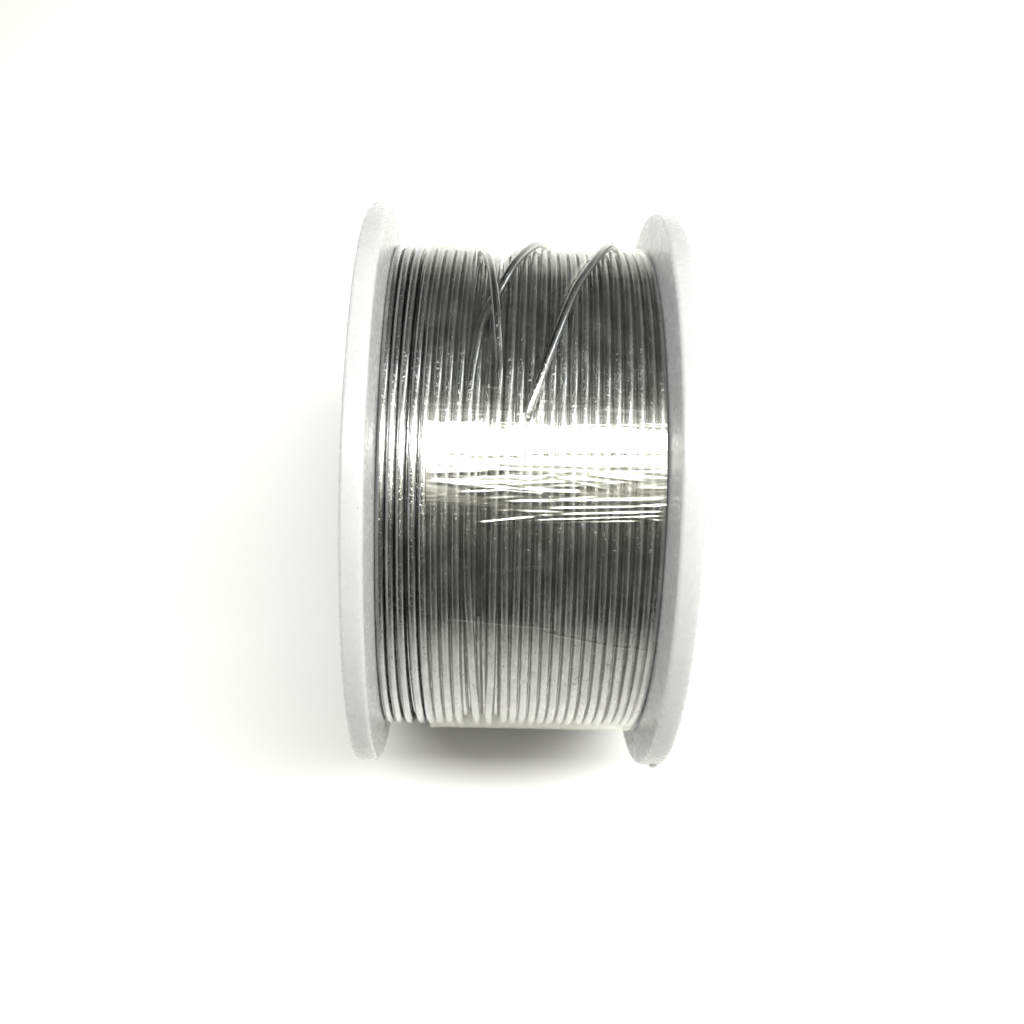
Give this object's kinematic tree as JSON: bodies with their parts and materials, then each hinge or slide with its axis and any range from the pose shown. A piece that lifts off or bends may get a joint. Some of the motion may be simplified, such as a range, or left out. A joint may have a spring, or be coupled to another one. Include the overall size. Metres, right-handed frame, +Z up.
{
  "type": "solder wire spool",
  "caption": "Two-part moulded spool with an open ribbed hub, wound full with cored solder wire and wrapped in clear film.",
  "frame": {"origin": "on the surface that the two rims lie on, under the middle of the spool", "axes": "+X along the spool's axis from the flange with the start hole to the other, +Z up"},
  "size_m": [0.0292, 0.0548, 0.0549],
  "materials": {
    "spool_plastic": "natural translucent white, smooth as moulded",
    "solder_wire": "bright drawn tin-lead wire",
    "rosin_flux": "amber rosin",
    "clear_film": "clear glossy film with light crinkles"
  },
  "bodies": {
    "root": {"spool_half_left": "spool_plastic", "spool_half_right": "spool_plastic", "wire_layer_1": "solder_wire", "wire_layer_2": "solder_wire", "wire_layer_3": "solder_wire", "wire_layer_4": "solder_wire", "wire_layer_5": "solder_wire", "wire_layer_6": "solder_wire", "wire_layer_7_outer": "solder_wire", "wire_inner_end": "solder_wire", "wire_crossing_strand": "solder_wire", "wire_tail": "solder_wire", "flux_core": "rosin_flux", "film_wrap": "clear_film"}
  },
  "joints": []
}
